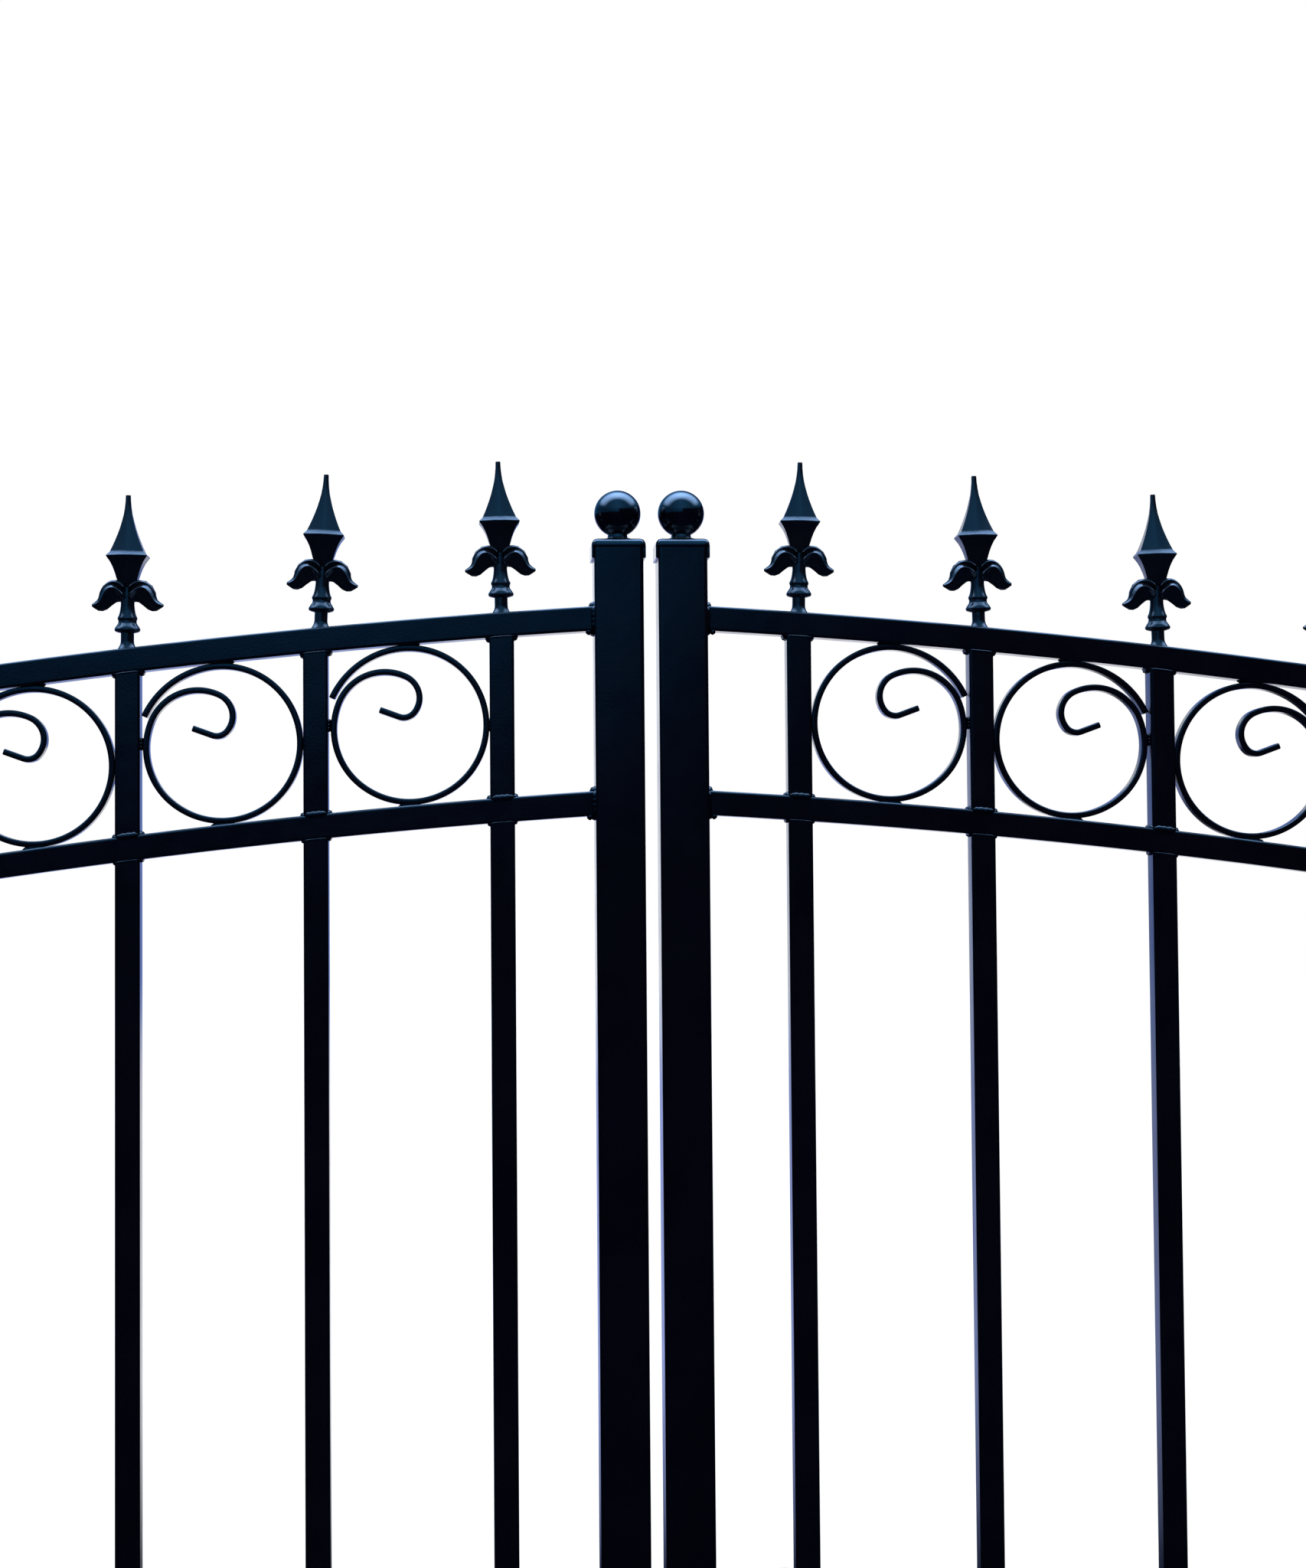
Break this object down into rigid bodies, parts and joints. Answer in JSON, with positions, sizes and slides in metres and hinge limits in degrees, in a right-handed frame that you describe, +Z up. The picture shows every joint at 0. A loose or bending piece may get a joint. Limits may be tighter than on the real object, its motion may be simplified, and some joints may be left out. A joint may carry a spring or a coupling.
{
  "type": "double garden gate",
  "caption": "Arched double garden gate in coated steel tube with ring scrolls, spear finials and ball caps, hung on two posts.",
  "frame": {"origin": "on the ground, in the middle of the opening and of the leaves' thickness", "axes": "+X to the right seen from the street, +Y into the garden, the way the leaves open, +Z up"},
  "size_m": [2.036, 0.18, 1.8187],
  "materials": {
    "coated_steel": "semi-gloss black powder coat with a blue cast",
    "cast_finials": "satin black paint over slightly rough castings",
    "ball_caps": "gloss black powder coat",
    "zinc_bolts": "dull zinc plate",
    "washers": "natural nylon",
    "plugs": "moulded black polyethylene"
  },
  "bodies": {
    "posts": {"left_gate_post": "coated_steel", "left_post_cap": "ball_caps", "left_base_plate": "coated_steel", "left_hinge_pintles": "coated_steel", "left_hinge_washers": "washers", "right_gate_post": "coated_steel", "right_post_cap": "ball_caps", "right_base_plate": "coated_steel", "right_hinge_pintles": "coated_steel", "right_hinge_washers": "washers", "ground_keeper": "coated_steel"},
    "left_leaf": {"left_meeting_stile": "coated_steel", "left_hinge_stile": "coated_steel", "left_top_rail": "coated_steel", "left_scroll_rail": "coated_steel", "left_bottom_rail": "coated_steel", "left_upper_bars": "coated_steel", "left_finials": "cast_finials", "left_meeting_stile_cap": "ball_caps", "left_hinge_stile_cap": "ball_caps", "left_stile_plugs": "plugs", "left_hinge_eyes": "coated_steel", "left_bolt_guides": "coated_steel", "left_lower_bar_1": "coated_steel", "left_lower_bar_2": "coated_steel", "left_lower_bar_3": "coated_steel", "left_lower_bar_4": "coated_steel", "left_lower_bar_5": "coated_steel", "left_ring_scroll_1": "coated_steel", "left_ring_scroll_2": "coated_steel", "left_ring_scroll_3": "coated_steel", "left_ring_scroll_4": "coated_steel", "latch_keeper": "coated_steel"},
    "right_leaf": {"right_meeting_stile": "coated_steel", "right_hinge_stile": "coated_steel", "right_top_rail": "coated_steel", "right_scroll_rail": "coated_steel", "right_bottom_rail": "coated_steel", "right_upper_bars": "coated_steel", "right_finials": "cast_finials", "right_meeting_stile_cap": "ball_caps", "right_hinge_stile_cap": "ball_caps", "right_stile_plugs": "plugs", "right_hinge_eyes": "coated_steel", "right_bolt_guides": "coated_steel", "right_lower_bar_1": "coated_steel", "right_lower_bar_2": "coated_steel", "right_lower_bar_3": "coated_steel", "right_lower_bar_4": "coated_steel", "right_lower_bar_5": "coated_steel", "right_ring_scroll_1": "coated_steel", "right_ring_scroll_2": "coated_steel", "right_ring_scroll_3": "coated_steel", "right_ring_scroll_4": "coated_steel", "latch_plate": "coated_steel"},
    "left_drop_bolt": {"left_drop_bolt": "zinc_bolts"},
    "right_drop_bolt": {"right_drop_bolt": "zinc_bolts"},
    "latch_bolt": {"latch_bolt": "zinc_bolts"}
  },
  "joints": [
    {"name": "left_leaf_swing", "type": "hinge", "parent": "posts", "child": "left_leaf", "pos_m": [-0.856, 0, 0.25], "axis": [0, 0, 1], "range_deg": [0, 90]},
    {"name": "right_leaf_swing", "type": "hinge", "parent": "posts", "child": "right_leaf", "pos_m": [0.856, 0, 0.25], "axis": [0, 0, -1], "range_deg": [0, 90]},
    {"name": "left_drop_bolt_slide", "type": "slide", "parent": "left_leaf", "child": "left_drop_bolt", "axis": [0, 0, 1], "range_m": [-0.034, 0]},
    {"name": "right_drop_bolt_slide", "type": "slide", "parent": "right_leaf", "child": "right_drop_bolt", "axis": [0, 0, 1], "range_m": [-0.034, 0]},
    {"name": "latch_bolt_slide", "type": "slide", "parent": "right_leaf", "child": "latch_bolt", "axis": [-1, 0, 0], "range_m": [0, 0.045]}
  ]
}
